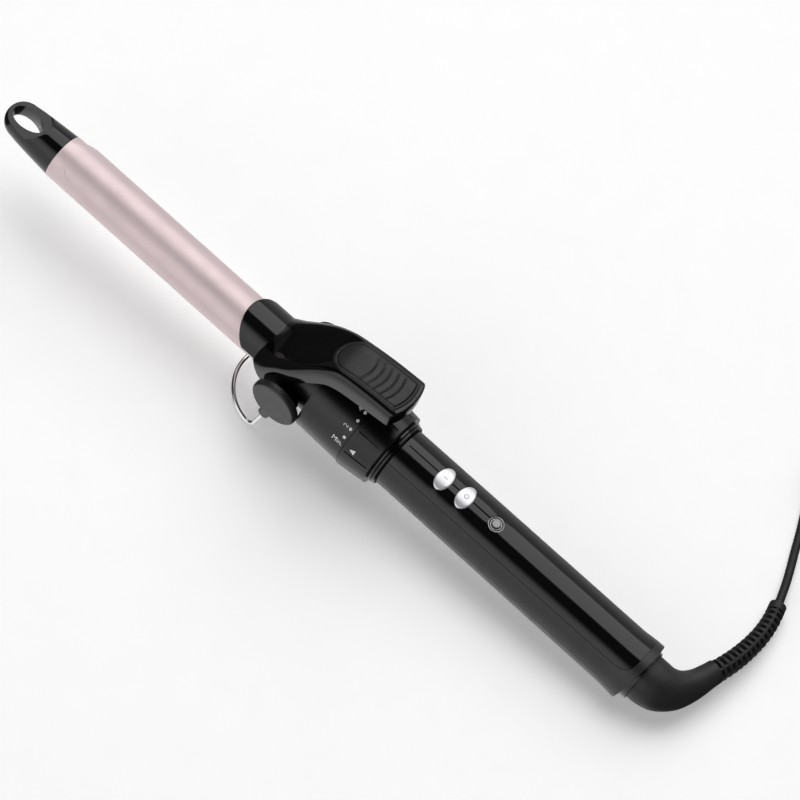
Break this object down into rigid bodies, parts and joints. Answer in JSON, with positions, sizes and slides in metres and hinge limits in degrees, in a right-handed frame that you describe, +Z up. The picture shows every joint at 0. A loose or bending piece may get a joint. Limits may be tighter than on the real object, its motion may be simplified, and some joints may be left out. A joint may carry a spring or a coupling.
{
  "type": "curling iron",
  "caption": "Curling iron with a sprung clip, fold-out wire stand, rotating temperature dial, push buttons, hanging loop and swivelling mains cord.",
  "frame": {"origin": "centre of the iron's own box on the table it stands on, measured without the cord", "axes": "+X along the iron towards the cord end, +Y to the far side, +Z up; the iron leans 5 degrees, tip up, on its stand"},
  "size_m": [0.4045, 0.1814, 0.0654],
  "materials": {
    "rose_coating": "satin rose ceramic coating",
    "gloss_black": "high gloss black",
    "satin_grey": "satin anthracite",
    "satin_black": "satin black",
    "textured_black": "fine spark-eroded grain",
    "inner_black": "as moulded",
    "matte_black": "matte",
    "soft_black": "soft matte",
    "cord_sheath": "satin PVC",
    "nickel": "nickel plated",
    "spring_chrome": "bright wire",
    "wire_chrome": "bright chrome",
    "pin_steel": "zinc plated",
    "heater_ceramic": "fired ceramic",
    "white_ceramic": "unglazed",
    "amber_film": "polyimide film",
    "shoe_aluminium": "extruded",
    "lead_sheath": "woven sleeve",
    "board_green": "solder mask",
    "component_black": "moulded",
    "silver_paint": "silver painted",
    "clear_lens": "clear",
    "lamp_red": "tinted",
    "contact_brass": "bare"
  },
  "bodies": {
    "handle": {"barrel_tube": "rose_coating", "cool_tip": "gloss_black", "bead_ring": "gloss_black", "button_panel": "gloss_black", "swivel_socket": "gloss_black", "hinge_base": "satin_black", "scale_housing": "satin_grey", "handle_shell_lower": "satin_grey", "handle_shell_upper": "satin_grey", "dial_core": "inner_black", "clip_springs": "spring_chrome", "hinge_pins": "pin_steel", "case_screws": "pin_steel", "ptc_heater": "heater_ceramic", "lead_insulator": "white_ceramic", "heater_insulation": "amber_film", "heater_shoe_upper": "shoe_aluminium", "heater_shoe_lower": "shoe_aluminium", "thermal_fuse": "shoe_aluminium", "heater_leads": "lead_sheath", "supply_leads": "lead_sheath", "dial_track": "board_green", "circuit_board": "board_green", "board_components": "component_black", "tact_switches": "component_black", "lamp_lens": "clear_lens", "lamp_led": "lamp_red", "slip_brushes": "contact_brass"},
    "clip": {"clip_lever": "gloss_black", "thumb_pad": "textured_black", "clip_plate": "rose_coating", "clip_rivets": "pin_steel"},
    "stand": {"stand_hubs": "satin_grey", "stand_wire": "wire_chrome"},
    "dial": {"temperature_dial": "satin_grey"},
    "on_button": {"power_on_button": "silver_paint"},
    "off_button": {"power_off_button": "silver_paint"},
    "cord_end": {"swivel_elbow": "matte_black", "swivel_keeper": "inner_black", "slip_rings": "contact_brass", "strain_relief": "soft_black", "cord_tube": "cord_sheath", "cord_coil": "cord_sheath", "cord_tail": "cord_sheath", "plug_body": "cord_sheath", "plug_prongs": "nickel"}
  },
  "joints": [
    {"name": "clip_hinge", "type": "hinge", "parent": "handle", "child": "clip", "pos_m": [-0.01872, 0, 0.02794], "axis": [0, 1, 0], "range_deg": [0, 22], "stiffness_Nm_per_rad": 0.3, "springref_deg": -8.59},
    {"name": "stand_fold", "type": "hinge", "parent": "handle", "child": "stand", "pos_m": [-0.01872, 0, 0.02794], "axis": [0, -1, 0], "range_deg": [0, 99.5]},
    {"name": "temperature_turn", "type": "hinge", "parent": "handle", "child": "dial", "pos_m": [0.01884, 0, 0.02463], "axis": [-0.9961, 0, 0.0881], "range_deg": [0, 136]},
    {"name": "on_press", "type": "slide", "parent": "handle", "child": "on_button", "axis": [-0.0881, 0, -0.9961], "range_m": [0, 0.0008], "stiffness_N_per_m": 300, "springref_m": -0.0005},
    {"name": "off_press", "type": "slide", "parent": "handle", "child": "off_button", "axis": [-0.0881, 0, -0.9961], "range_m": [0, 0.0008], "stiffness_N_per_m": 300, "springref_m": -0.0005},
    {"name": "cord_swivel", "type": "hinge", "parent": "handle", "child": "cord_end", "pos_m": [0.15092, 0, 0.01295], "axis": [0.9961, 0, -0.0881], "continuous": true}
  ]
}
